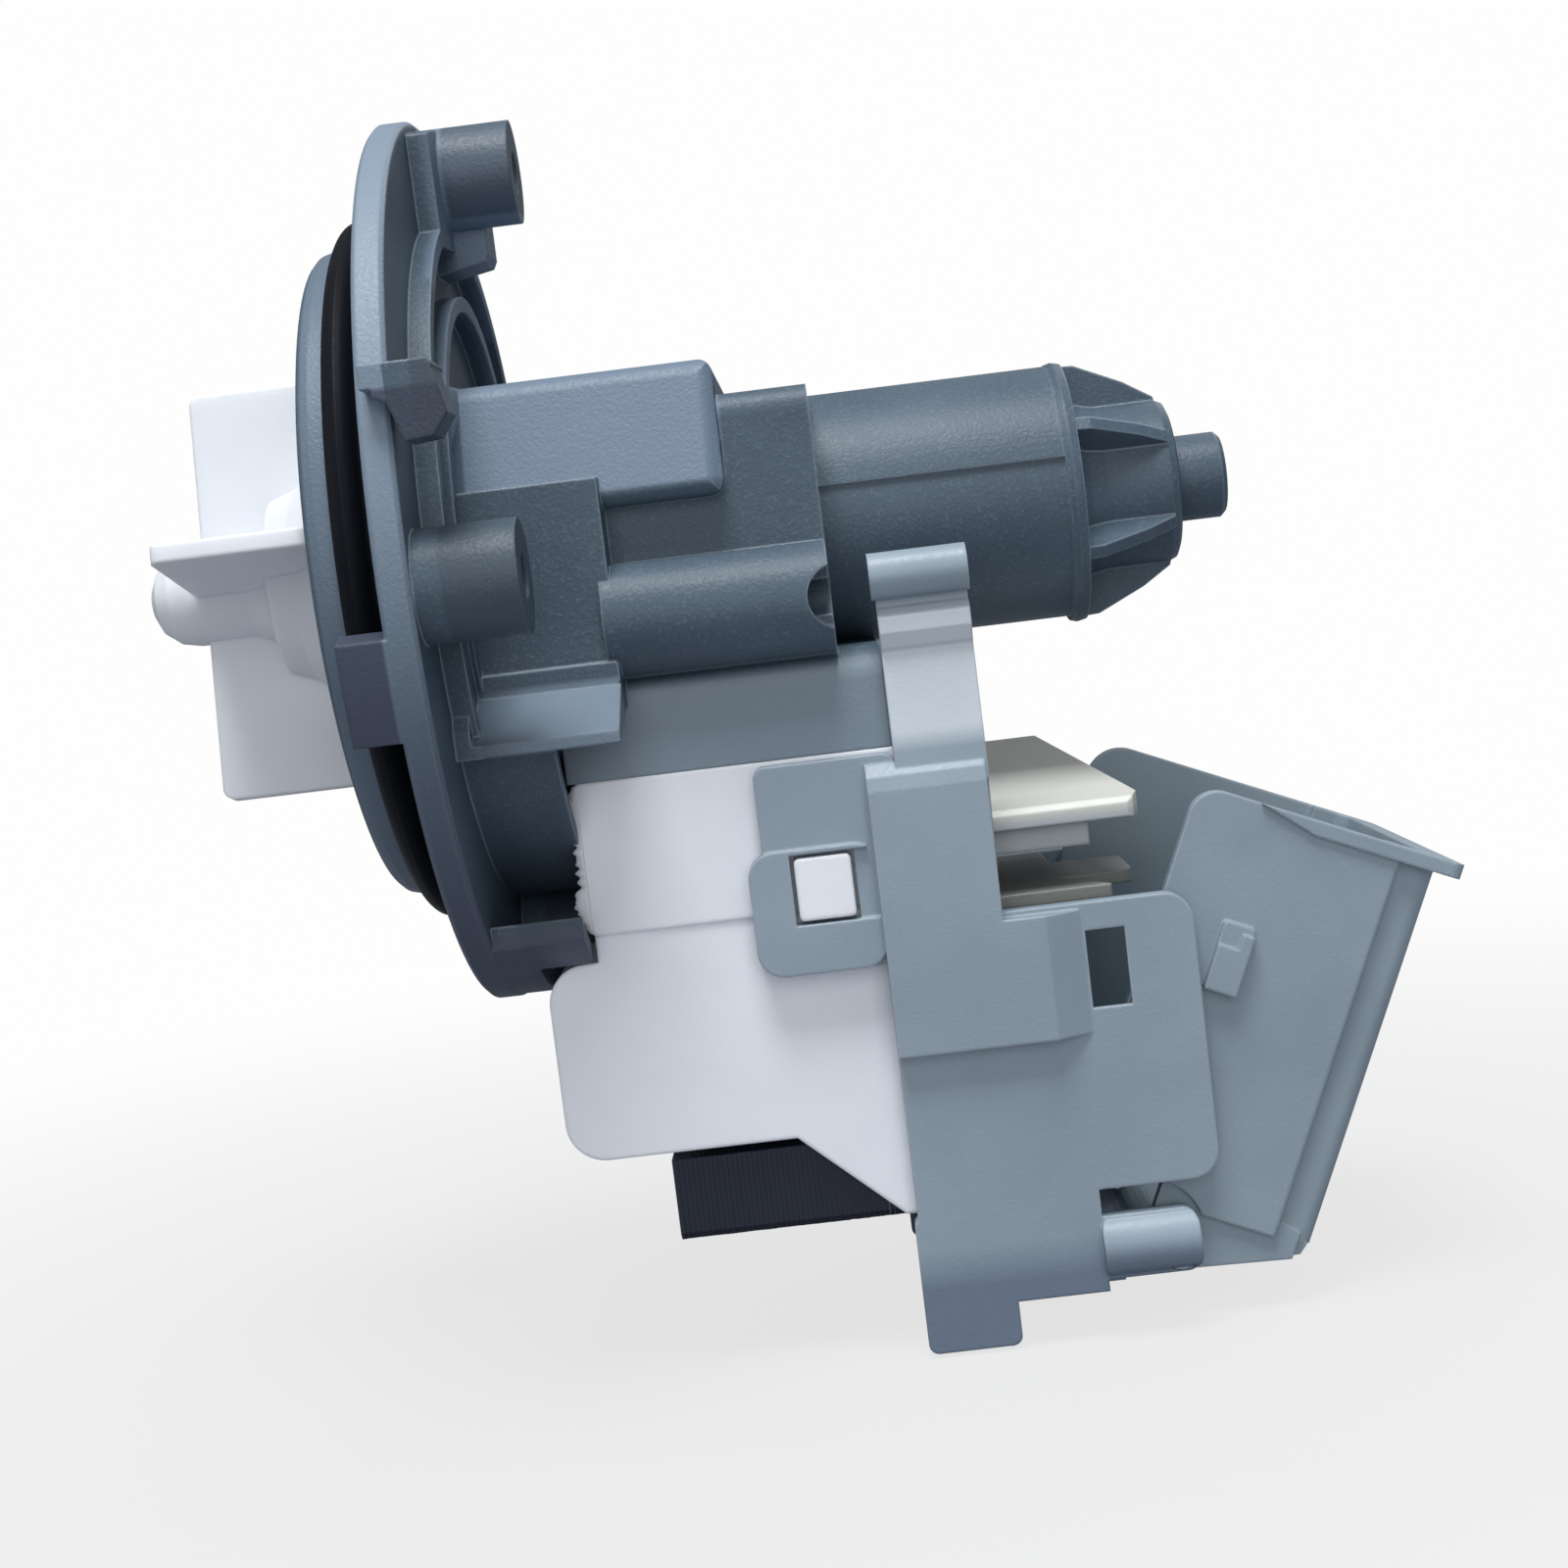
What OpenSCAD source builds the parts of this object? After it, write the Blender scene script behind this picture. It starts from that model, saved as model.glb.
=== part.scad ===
// Washing machine drain pump. X runs along the rotor axis from impeller to rear nub, Z is up.
// The origin is on the rotor axis, in the front face of the flange.

/* [Flange and spigot] */
// Radius of the round flange
flange_r = 46; // [45.8:0.1:46.6]
// Thickness of the flange
flange_t = 3; // [2.6:0.1:3.4]
// Radius of the circle on which the screw towers stand
screw_circle_r = 40; // [39.8:0.1:40.2]
// Outer radius of a screw tower
tower_r = 5.3; // [5:0.1:5.4]
// Radius of the hole in a screw tower
tower_hole_r = 2.1; // [1.8:0.1:2.4]
// Height of the open end of the near, far and top towers above the flange front
tower_end = 12.5; // [11.5:0.1:13]
// Turn of the tower pattern towards the viewer, in degrees
tower_turn = 3; // [1:1:5]
// Radius of the front spigot
spigot_r = 34; // [33.7:0.1:34.4]
// Length of the spigot in front of the flange
spigot_len = 8.4; // [8:0.1:8.6]
// Thickness of the rubber seal ring
seal_d = 4; // [3.6:0.1:4.2]

/* [Rotor chamber] */
// Outer radius of the rotor can
can_r = 13.4; // [13.2:0.05:13.7]
// Wall of the rotor can
can_wall = 1.9; // [1.6:0.1:2.1]
// Position of the end of the can
can_end = 66.5; // [65.5:0.5:68]
// Position of the end of the ribbed bearing seat
seat_end = 77; // [76.6:0.1:78]
// Radius of the rear nub
nub_r = 4.5; // [4.2:0.1:4.9]
// Length of the rear nub
nub_len = 5.4; // [4.4:0.1:6.4]

/* [Rotor and impeller] */
// Radius of the rotor shaft
shaft_r = 2; // [1.9:0.05:2.1]
// Radial play of the shaft in its bushes
shaft_play = 0.04; // [0.03:0.01:0.06]
// Outer radius of the bearing bushes
bush_r = 4.4; // [4.2:0.1:4.6]
// Gap between the magnet and the wall of the can
magnet_gap = 1.1; // [0.9:0.1:1.5]
// Outer radius of the magnet
magnet_r = can_r - can_wall - magnet_gap;
// Radius over the impeller blades
impeller_r = 22; // [20:0.5:23]
// Front edge of the impeller blades, in front of the flange
blade_front = 26.2; // [25:0.1:27]
// Thickness of an impeller blade
blade_t = 1.8; // [1.4:0.1:2.2]
// Free swing of the impeller to each side before the dog drives it, in degrees
free_swing = 127; // [125:1:127]

/* [Stator] */
// Half the distance between the far sides of the two pole pieces
pole_half = 17.2; // [16.9:0.1:17.3]
// Front face of the lamination stack
stack_front = 19.8; // [19.7:0.1:20]
// Rear face of the lamination stack
stack_rear = 38.2; // [38:0.1:38.3]
// Height of the coil cover's upper face below the rotor axis
coil_top = 23; // [22.9:0.1:23.1]
// Half width of the coil cover
coil_half = 20.4; // [20.3:0.05:20.5]
// Bottom of the yoke below the rotor axis
yoke_drop = 70.6; // [70:0.1:71]

/* [Connector cover and lid] */
// Inner face of the cover's side plates, from the middle plane
cover_in = 20.6; // [20.55:0.05:20.7]
// Thickness of the cover's side plates
cover_t = 1.8; // [1.7:0.1:2]
// Lower end of the cover's foot below the rotor axis
foot_drop = 84; // [83:0.1:85]
// Outer half width of the lid
lid_half = 19.9; // [19.8:0.05:20]
// Wall of the lid
lid_t = 1.5; // [1.4:0.1:1.6]
// Position of the lid pivot along the rotor axis
pivot_x = 66.7; // [66.5:0.1:66.9]
// Height of the lid pivot below the rotor axis
pivot_drop = 76.2; // [76.1:0.1:76.3]
// Radius of a lid pivot pin
pin_r = 2; // [1.9:0.1:2.1]
// Angle by which the lid stands open as drawn
lid_open = 24; // [21:1:27]

/* [Hidden] */
$fn = 64;
eps = 0.01;
tower_angles = [for (i = [0 : 3]) tower_turn + 90 * i];
seal_mid = -2.1 - seal_d / 2;
groove_r = spigot_r - 1.2;
chamber_r = can_r - can_wall;
plate_r = 17;
seal_seat_r = 5;
lip_r = shaft_r + shaft_play;
plate_depth = 4.7;
mount_r = 7;
seat_floor = seat_end - 1.4;
chamber_mouth = -spigot_len + plate_depth;
magnet_front = 13.4;
magnet_rear = 47;
carrier_end_t = 1.4;
carrier_r = 3.9;
shroud_half = pole_half + 1.8;
shroud_front = stack_front - 1.8;
shroud_rear = stack_rear + 1.6;
shroud_top = can_r + 0.1;
skirt_front = 11.6;
skirt_rear = 44;
box_top = 17.2;
box_floor = 3.6;
box_half = 22;
box_rear = 30.8;
wall_radii = [35.4, 28];
wall_t = 1.6;
wall_h = 2.2;
tall_wall_h = 9;
skirt_half = 26;
bell_half = 24;
bell_rear = 18.6;
shelf_z = -14;
tube_y = pole_half + 3;
tube_z = -7.5;
tube_r = 5.5;
tube_bore_r = 2.2;
leg_in = 6.3;
leg_out = 13.6;
leg_foot = yoke_drop - 4.1;
bobbin_t = 1.2;
wind_t = 4;
coil_bottom = 61;
coil_front = 12.4;
coil_rear = 46.6;
lobe_front = 7;
heel_drop = 70;
yoke_front = 17;
yoke_rear = 42.4;
yoke_half = 18.5;
yoke_gap = 0.2;
tab_start = coil_rear - 1.2;
tab_bottom = -48.9;
tab_t = 0.8;
tab_y = 6;
tab_half = 3.15;
panel_step = 0.25;
wall = 1.5;
front_bush_x = -4;
rear_bush_x = can_end + 1;
bush_len = 7.8;
hub_back = -9.8;
dog_front = -16.6;
dog_back = -12.2;
cap_front = -11.6;
dog_half = 25;
swing_gap = 3;
stop_half = 180 - free_swing - swing_gap - dog_half;
pin_play = 0.08;
coil_top_z = -coil_top;
ear_z = [-78.4, -72];
ear_x = [59, 68.6];
latch_x = 62.6;
latch_z = -47.1;
latch_w = 3.9;
latch_h = 7.8;
box_step = -41;
box_rise = 1.8;
lid_back = 80;
lid_top = -31.5;
lid_foot = -72.8;
lid_near = 54.4;
lid_far = 48.8;
lip_reach = 2.2;
lip_t = 1.5;
strip_t = 1.8;
arm_step = 0.8;

// A box given by its limits
module block(x, y, z)
    translate([x[0], y[0], z[0]])
        cube([x[1] - x[0], y[1] - y[0], z[1] - z[0]]);

// A straight cylinder along X between two positions
module rod_x(r, x0, x1)
    translate([x0, 0, 0])
        rotate([0, 90, 0])
            cylinder(r = r, h = x1 - x0);

// A straight cylinder along Y
module rod_y(r, y0, y1)
    translate([0, y0, 0])
        rotate([-90, 0, 0])
            cylinder(r = r, h = y1 - y0);

// A body of revolution about X; the outline holds [radius, position] pairs
module turned(outline)
    rotate([0, 90, 0])
        rotate_extrude()
            polygon(outline);

// An XZ outline given thickness between two Y positions
module slab_y(y0, y1)
    translate([0, y1, 0])
        rotate([90, 0, 0])
            linear_extrude(y1 - y0)
                children();

// A YZ outline given length between two X positions
module bar_x(x0, x1)
    translate([x0, 0, 0])
        rotate([90, 0, 90])
            linear_extrude(x1 - x0)
                children();

// A rectangle with rounded corners
module soft_rect(a, b, r) {
    translate([a[0] + r, b[0]])
        square([a[1] - a[0] - 2 * r, b[1] - b[0]]);
    translate([a[0], b[0] + r])
        square([a[1] - a[0], b[1] - b[0] - 2 * r]);
    for (u = [a[0] + r, a[1] - r], v = [b[0] + r, b[1] - r])
        translate([u, v])
            circle(r, $fn = 32);
}

// The same shape on the near and the far side
module both_sides() {
    children();
    mirror([0, 1, 0])
        children();
}

// Turns its shape about the rotor axis, from the top towards the viewer
module around_axis(angle)
    rotate([angle, 0, 0])
        children();

/* Pump housing */

module flange_shape() {
    edge = 0.4;
    turned([[0, 0], [flange_r - edge, 0], [flange_r, edge], [flange_r, flange_t - edge],
        [flange_r - edge, flange_t], [0, flange_t]]);
    // Spigot with the groove of the seal ring
    turned([[0, -spigot_len], [spigot_r - 1.4, -spigot_len], [spigot_r - 0.7, -spigot_len + 0.19],
        [spigot_r - 0.19, -spigot_len + 0.7], [spigot_r, -spigot_len + 1.4],
        [spigot_r, seal_mid - seal_d / 2], [groove_r, seal_mid - seal_d / 2],
        [groove_r, seal_mid + seal_d / 2], [spigot_r, seal_mid + seal_d / 2], [spigot_r, 0], [0, 0]]);
}

module ring_wall(r, t, h)
    difference() {
        rod_x(r, flange_t - 0.5, flange_t + h);
        rod_x(r - t, flange_t - 1, flange_t + h + 1);
    }

// Raised walls on the back of the flange, taller below the rotor axis
module flange_back() {
    for (r = wall_radii) {
        ring_wall(r, wall_t, wall_h);
        intersection() {
            ring_wall(r, wall_t, tall_wall_h);
            block([0, 20], [-40, 40], [-40, shelf_z - 1.5]);
        }
    }
    // Outer skirt at the bottom, cut back where the coil cover reaches under the flange
    intersection() {
        ring_wall(flange_r - 0.15, 1.9, tall_wall_h);
        union() {
            block([0, 6.6], [-skirt_half, skirt_half], [-60, -30]);
            both_sides()
                block([0, 20], [-skirt_half, -coil_half - 0.4], [-60, -30]);
        }
    }
    // Thick pad under the top tower, and the small lug below it
    around_axis(tower_turn)
        bar_x(flange_t - 0.5, flange_t + wall_h)
            intersection() {
                soft_rect([-9.6, 9.6], [32.6, flange_r], 1.6);
                circle(flange_r - 1.2);
            }
    slab_y(-2, 5)
        polygon([[flange_t - 0.5, 30.2], [8.2, 31.2], [8.6, 32], [8.6, 36], [flange_t - 0.5, 36]]);
}

module screw_tower(angle, end)
    around_axis(angle)
        translate([0, 0, screw_circle_r])
            rod_x(tower_r, 1, end);

module flange_tabs() {
    // Bayonet tabs in front of the flange, near and far
    for (angle = [104, 284])
        around_axis(angle)
            intersection() {
                difference() {
                    rod_x(flange_r, -4.4, 0.5);
                    rod_x(flange_r - 3.4, -5, 0.6);
                }
                block([-5, 1], [-4.8, 4.8], [30, 50]);
            }
    // Hook lug on the near rim: a ledge with a wedge hanging from its rear end
    slab_y(-flange_r - 0.6, -flange_r + 6)
        polygon([[1, 15.4], [3, 15.4], [7, 16.4], [7.6, 17], [7, 17.6], [1, 17.6]]);
    slab_y(-flange_r - 0.6, -flange_r + 5)
        polygon([[2, 15.6], [2, 14.6], [3.2, 14.1], [4.4, 10.6], [7, 10.8], [8.4, 12.7], [7.4, 17],
            [6, 17]]);
}

module bell() {
    // Upper box, soft on all its edges
    intersection() {
        bar_x(flange_t - 0.5, box_rear)
            soft_rect([-box_half, box_half], [box_floor, box_top], 1.6);
        slab_y(-box_half, box_half)
            soft_rect([-3, box_rear], [box_floor, box_top], 1.6);
        translate([0, 0, box_floor])
            linear_extrude(box_top - box_floor)
                soft_rect([-3, box_rear], [-box_half, box_half], 1.6);
    }
    // Side plates with the ledge and the sloping shelf under them
    block([flange_t - 0.5, bell_rear], [-bell_half, bell_half], [shelf_z - 2, box_floor + 3]);
    both_sides() {
        slab_y(-bell_half - 1, -bell_half + 1)
            soft_rect([flange_t - 0.5, bell_rear], [shelf_z + 0.6, shelf_z + 2.8], 0.5);
        bar_x(flange_t - 0.5, bell_rear)
            polygon([[-bell_half + 1, shelf_z + 1], [-bell_half - 0.6, shelf_z + 0.8],
                [-bell_half - 9, shelf_z - 3.4], [-bell_half - 9, shelf_z - 4.6], [-bell_half + 1, shelf_z - 2]]);
        // The shelf's web against the flange
        bar_x(flange_t - 0.5, flange_t + 1.6)
            polygon([[-bell_half + 1, box_floor - 2], [-bell_half - 2, box_floor - 4],
                [-bell_half - 9, shelf_z - 2], [-bell_half - 9, shelf_z - 4.6], [-bell_half + 1, shelf_z - 2]]);
    }
}

// Half round tube with an open bore at its rear end
module screw_tube()
    translate([0, -tube_y, tube_z])
        difference() {
            union() {
                rod_x(tube_r, bell_rear - 1, shroud_rear);
                block([bell_rear - 1, shroud_rear], [0, tube_y - shroud_half + 0.5], [-tube_r, tube_r]);
            }
            rod_x(tube_bore_r, bell_rear + 6, shroud_rear + 1);
            // The near wall is notched at the open end
            translate([shroud_rear + 0.8, -10, 0])
                rod_y(3.1, -20, 10 - tube_r * 0.25);
            // The inner side stops at the pole shroud
            block([0, 60], [tube_y - shroud_half + 0.5, 20], [-20, 20]);
        }

// Shroud over the poles, with a wider skirt where the coils begin
module pole_shroud() {
    bar_x(shroud_front - 1, shroud_rear)
        soft_rect([-shroud_half, shroud_half], [-14, shroud_top], 1);
    bar_x(skirt_front, skirt_rear)
        translate([0, -coil_top])
            intersection() {
                soft_rect([-coil_half, coil_half], [-4, 10.2], 3);
                translate([-30, 0])
                    square([60, 20]);
            }
}

module rotor_can() {
    rod_x(can_r - 0.4, flange_t, can_end);
    // The upper half stands slightly proud, with a crisp lengthwise step
    intersection() {
        rod_x(can_r, flange_t, can_end);
        block([0, can_end], [-20, 20], [3.4, 20]);
    }
    turned([[0, can_end - 1.6], [can_r + 0.1, can_end - 1.6], [can_r + 0.3, can_end - 0.9],
        [can_r + 0.1, can_end], [0, can_end]]);
}

module bearing_seat() {
    core_r = mount_r + 1.5;
    turned([[0, can_end - 1], [core_r + 1.4, can_end - 1], [core_r + 0.4, can_end + 1.2], [core_r, can_end + 3],
        [core_r, seat_end - 1], [core_r - 0.3, seat_end - 0.3], [core_r - 1, seat_end], [0, seat_end]]);
    for (i = [0 : 5])
        around_axis(60 * i)
            slab_y(-0.7, 0.7)
                polygon([[can_end - 1, core_r - 1], [can_end - 0.5, can_r - 0.2], [can_end + 1.5, can_r - 0.3],
                    [can_end + 6.5, can_r - 2.6], [seat_end - 1, core_r + 0.4], [seat_end - 0.6, core_r - 1]]);
    turned([[0, seat_end - 1], [nub_r, seat_end - 1], [nub_r, seat_end + nub_len - 0.5],
        [nub_r - 0.5, seat_end + nub_len], [0, seat_end + nub_len]]);
}

module housing_hollows() {
    // Rotor chamber, bearing plate seat and rear bearing seat
    rod_x(plate_r, -spigot_len - 1, chamber_mouth);
    rod_x(chamber_r, chamber_mouth - 1, can_end - 1.5);
    rod_x(mount_r, can_end - 2.5, seat_floor);
    rod_x(shaft_r + 0.7, seat_floor - 1, seat_end + 2.4);
    // Bores of the screw tubes
    both_sides()
        translate([0, -tube_y, tube_z])
            rod_x(tube_bore_r, bell_rear + 6, shroud_rear + 1);
    // Screw holes right through the flange
    for (i = [0 : 3])
        around_axis(tower_angles[i])
            translate([0, 0, screw_circle_r])
                rod_x(tower_hole_r, -1, tower_end + 1);
}

// Room for the poles, and the inside of the skirt
module shroud_hollows() {
    difference() {
        union() {
            block([stack_front - 0.1, stack_rear + 0.1], [-pole_half - 0.1, pole_half + 0.1],
                [-coil_top - 1, 11.9]);
            block([skirt_front + wall, skirt_rear - wall], [-coil_half + wall, coil_half - wall],
                [-coil_top - 1, -15.2]);
        }
        rod_x(can_r, 0, can_end);
    }
}

module pump_housing()
    color("slategray")
        difference() {
            union() {
                flange_shape();
                flange_back();
                for (i = [0 : 3])
                    screw_tower(tower_angles[i], i == 2 ? tower_end - 0.6 : tower_end);
                flange_tabs();
                difference() {
                    union() {
                        bell();
                        pole_shroud();
                    }
                    shroud_hollows();
                }
                both_sides()
                    screw_tube();
                rotor_can();
                bearing_seat();
            }
            housing_hollows();
        }

module seal_ring()
    color("black")
        rotate([0, 90, 0])
            rotate_extrude()
                translate([groove_r + seal_d / 2, seal_mid])
                    circle(d = seal_d, $fn = 48);

module bearing_plate()
    color("lightslategray")
        difference() {
            union() {
                rod_x(plate_r, -spigot_len, chamber_mouth);
                rod_x(chamber_r, chamber_mouth - 1, front_bush_x + bush_len + 0.8);
            }
            rod_x(seal_seat_r, -spigot_len - 1, -spigot_len + 3.6);
            rod_x(shaft_r + 0.6, -spigot_len, 10);
            rod_x(mount_r, front_bush_x, 20);
        }

module shaft_seal()
    color("dimgray")
        turned([[lip_r, -spigot_len + 1.2], [lip_r + 0.6, -spigot_len + 0.5], [seal_seat_r, -spigot_len + 0.5],
            [seal_seat_r, -spigot_len + 3.6], [lip_r + 0.8, -spigot_len + 3.6], [lip_r + 0.8, -spigot_len + 1.9],
            [lip_r, -spigot_len + 1.6]]);

module bush(x)
    color("saddlebrown")
        difference() {
            rod_x(bush_r, x, x + bush_len);
            rod_x(shaft_r + shaft_play, x - 1, x + bush_len + 1);
        }

module bush_mount(x)
    color("dimgray")
        difference() {
            rod_x(mount_r, x, x + bush_len);
            rod_x(bush_r, x - 1, x + bush_len + 1);
        }

/* Stator */

// Outline across the stack of one leg with its pole
module leg_outline()
    difference() {
        union() {
            translate([-leg_out, -leg_foot])
                square([leg_out - leg_in, leg_foot]);
            translate([-pole_half, -14])
                square([pole_half - leg_in, 25.8]);
        }
        circle(can_r + 0.05, $fn = 96);
    }

module stator_legs()
    color("darkslategray")
        both_sides()
            bar_x(stack_front, stack_rear)
                leg_outline();

module stator_yoke()
    color("darkslateblue")
        difference() {
            block([yoke_front, yoke_rear], [-yoke_half, yoke_half], [-yoke_drop, -coil_bottom - 1.2]);
            both_sides()
                block([stack_front, stack_rear], [-leg_out, -leg_in], [-leg_foot, -50]);
        }

// Shape across the coil, grown by t around the leg
module leg_ring(t, r)
    soft_rect([stack_front - t, stack_rear + t], [-leg_out - t, -leg_in + t], r);

module bobbin()
    color("ivory")
        difference() {
            union() {
                translate([0, 0, -coil_bottom + 0.5])
                    linear_extrude(coil_bottom - coil_top - 2.1)
                        leg_ring(bobbin_t, 0.8);
                for (z = [-coil_bottom + 0.5, -coil_top - 2.8])
                    translate([0, 0, z])
                        linear_extrude(1.2)
                            leg_ring(bobbin_t + wind_t, 1.5);
            }
            block([stack_front, stack_rear], [-leg_out, -leg_in], [-coil_bottom, -coil_top]);
        }

module winding()
    color("peru")
        translate([0, 0, -coil_bottom + 1.7])
            linear_extrude(coil_bottom - coil_top - 4.5)
                difference() {
                    leg_ring(bobbin_t + wind_t - 0.2, 3.4);
                    leg_ring(bobbin_t, 0.8);
                }

// Side view of the coil cover
module coil_outline() {
    soft_rect([coil_front, coil_rear], [-coil_bottom, -coil_top], 1.2);
    soft_rect([lobe_front, 30], [-coil_bottom, -41], 4);
    polygon([[29, -coil_bottom], [30, -coil_bottom], [40, -heel_drop], [coil_rear, -heel_drop],
        [coil_rear, -50], [29, -50]]);
}

module coil_cover()
    color("ghostwhite") {
        difference() {
            union() {
                slab_y(-coil_half + panel_step, coil_half - panel_step)
                    coil_outline();
                slab_y(-coil_half, coil_half)
                    soft_rect([coil_front - 0.4, coil_rear], [-38.3, -coil_top], 0.8);
            }
            // Room for the coils, and for what sits in the near lobe
            block([coil_front + wall, coil_rear - wall], [-coil_half + wall, coil_half - wall],
                [-coil_bottom + 0.5, -coil_top - 1.6]);
            slab_y(-coil_half + wall, -6.5)
                soft_rect([lobe_front + wall, 16], [-coil_bottom + wall, -49], 4 - wall);
            both_sides()
                block([stack_front - 0.2, stack_rear + 0.2], [-leg_out - 0.2, -leg_in + 0.2], [-70, -20]);
            // Room for the yoke
            block([yoke_front - yoke_gap, yoke_rear + yoke_gap], [-yoke_half - yoke_gap, yoke_half + yoke_gap],
                [-heel_drop - 10, -coil_bottom - 1.2]);
            // Slots of the terminal tabs and of the leads soldered to them
            both_sides()
                block([coil_rear - 2.6, coil_rear + 1.4], [-10.2, -2.7],
                    [tab_bottom - 0.2, tab_bottom + tab_t + 0.2]);
            // Relief behind the bottom screw tower
            block([5, 13.4], [-5, 9], [-48.4, -40]);
        }
        // Catches of the snap arms
        both_sides() {
            slab_y(-coil_half - 2.6, -coil_half + 0.5)
                soft_rect([33, 38.6], [-38.9, -32.7], 0.5);
        }
    }

module thermal_cutout()
    color("firebrick")
        block([10.4, stack_front - bobbin_t - wind_t + 0.2], [-16, -9], [-59, -50]);

module winding_leads()
    color("orangered")
        both_sides()
            block([stack_rear + bobbin_t + wind_t - 0.2, tab_start], [-10, -9],
                [tab_bottom - 0.1, tab_bottom + 0.9]);

module terminal_block()
    color("tan")
        difference() {
            union() {
                block([coil_rear, 50], [-17.4, 17.4], [-62, -33]);
                // Roof, rising to the far side, with a long cut at its far rear corner
                intersection() {
                    bar_x(coil_rear, 68)
                        polygon([[-17.2, -33], [-16.8, -33.2], [17.6, -31.4], [17.6, -27], [17, -26.6],
                            [-16.6, -31], [-17.2, -31.6]]);
                    translate([0, 0, -34])
                        linear_extrude(8)
                            polygon([[coil_rear, -18], [65.6, -18], [67.4, -16.8], [68, -15], [67.6, -13], [61, 17.6],
                                [coil_rear, 17.6]]);
                }
                block([49, 62.8], [-15.4, 14], [-35.6, -32.4]);
                // Plate above the tabs, its far half longer than its near one
                translate([0, 0, -41])
                    linear_extrude(1.4)
                        union() {
                            polygon([[49, -17], [64.4, -17], [60, -8], [60, 14], [49, 14]]);
                            soft_rect([55, 67.6], [-8, 4], 1.2);
                        }
                block([49, 53.6], [-12, 12], [-53, -40]);
            }
            for (y = [-tab_y, tab_y])
                block([coil_rear - 6.6, 60], [y - tab_half, y + tab_half],
                    [tab_bottom, tab_bottom + tab_t]);
        }

module terminal_tabs()
    color("silver")
        for (y = [-tab_y, tab_y])
            translate([0, 0, tab_bottom])
                linear_extrude(tab_t)
                    polygon([[tab_start, y - tab_half], [60.5, y - tab_half], [62, y - 2.2], [62, y + 2.2],
                        [60.5, y + tab_half], [tab_start, y + tab_half]]);

/* Connector cover */

// Side view of one cover plate, without its window
module cover_outline() {
    // Strap, body and foot
    polygon([[44, -8], [53, -8], [53, -26], [52.7, -43], [41, -43], [41, -26], [44, -26]]);
    soft_rect([41, 71.4], [-69.2, -40.4], 2.8);
    translate([41, -78.2])
        square([18, 20]);
    translate([41, -79.6])
        square([18.2, 12]);
    translate([41, -50])
        square([10, 20]);
    soft_rect([40.6, 50], [-foot_drop, -70], 1);
    // Hinge ear
    soft_rect([ear_x[0] - 3, ear_x[1]], ear_z, 1.4);
    // Snap arm, and the plate that carries it
    difference() {
        union() {
            soft_rect([28.4, 44], [-44.2, -31.8], 2.6);
            soft_rect([30, 44], [-36, coil_top_z - 0.4], 1.2);
        }
        translate([32.6, -39.3])
            square([6.4, 7]);
    }
}

module cover_plate() {
    outer = -cover_in - cover_t;
    difference() {
        union() {
            slab_y(outer, -cover_in)
                cover_outline();
            // Raised box with a slanted rear side, and the slope of the strap that runs into it
            translate([0, 0, box_step])
                linear_extrude(-27 - box_step)
                    polygon([[41, -cover_in], [41, outer - box_rise], [52.7, outer - box_rise],
                        [52.7, -cover_in]]);
            bar_x(41, 52.7)
                polygon([[-cover_in, -27.01], [outer - box_rise, -27.01], [outer - box_rise + 0.3, -25.6],
                    [outer - 0.9, -24.8], [outer - 0.6, -24.4], [-cover_in, -24.4]]);
            bar_x(44, 53)
                polygon([[-cover_in, -27], [outer - 1.2, -27], [outer, -13.4], [-cover_in, -13.4]]);
            translate([0, 0, -53.4])
                linear_extrude(53.4 + box_step + eps)
                    polygon([[41, -cover_in], [41, outer - box_rise], [56.8, outer - box_rise], [60.4, outer],
                        [60.4, -cover_in]]);
            // Thicker rim of the snap arm around its window
            slab_y(outer - 0.7, outer)
                difference() {
                    soft_rect([28.4, 41.4], [-44.2, -31.8], 2.6);
                    translate([32.6, -39.3])
                        square([10, 7]);
                }
            // Rolled hook at the top of the strap, with a soft shoulder below it
            bar_x(43.6, 53.2)
                translate([outer - 0.4, -6.2])
                    circle(2.3, $fn = 32);
            bar_x(44, 53)
                translate([outer, -9])
                    square([cover_t, 4.6]);
            bar_x(44, 53)
                polygon([[outer + 0.5, -9], [outer - 0.4, -9.4], [outer - 1.3, -10.3], [outer - 1.3, -11.8],
                    [outer - 0.5, -13.2], [outer + 0.5, -14]]);
            // Hinge ear, a half barrel closed on the outside
            intersection() {
                bar_x(ear_x[0], ear_x[1])
                    translate([outer + 1.4, (ear_z[0] + ear_z[1]) / 2])
                        circle((ear_z[1] - ear_z[0]) / 2);
                slab_y(outer - 2, outer + 0.5)
                    soft_rect(ear_x, ear_z, 1.4);
            }
        }
        // Latch window and the lead-in of the lid's snap tab
        slab_y(outer - 3, -cover_in + 1)
            translate([latch_x - latch_w / 2, latch_z - latch_h / 2])
                square([latch_w, latch_h]);
        intersection() {
            translate([pivot_x, 0, -pivot_drop])
                difference() {
                    rod_y(33.8, -cover_in - 1.2, -cover_in + 1);
                    rod_y(25, -cover_in - 2, -cover_in + 2);
                }
            block([latch_x - latch_w / 2, 80], [-30, 0], [-60, -30]);
        }
        // Blind bearing of the lid pin
        translate([pivot_x, 0, -pivot_drop])
            rod_y(pin_r + pin_play, outer - 0.4, -cover_in + 1);
    }
}

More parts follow.
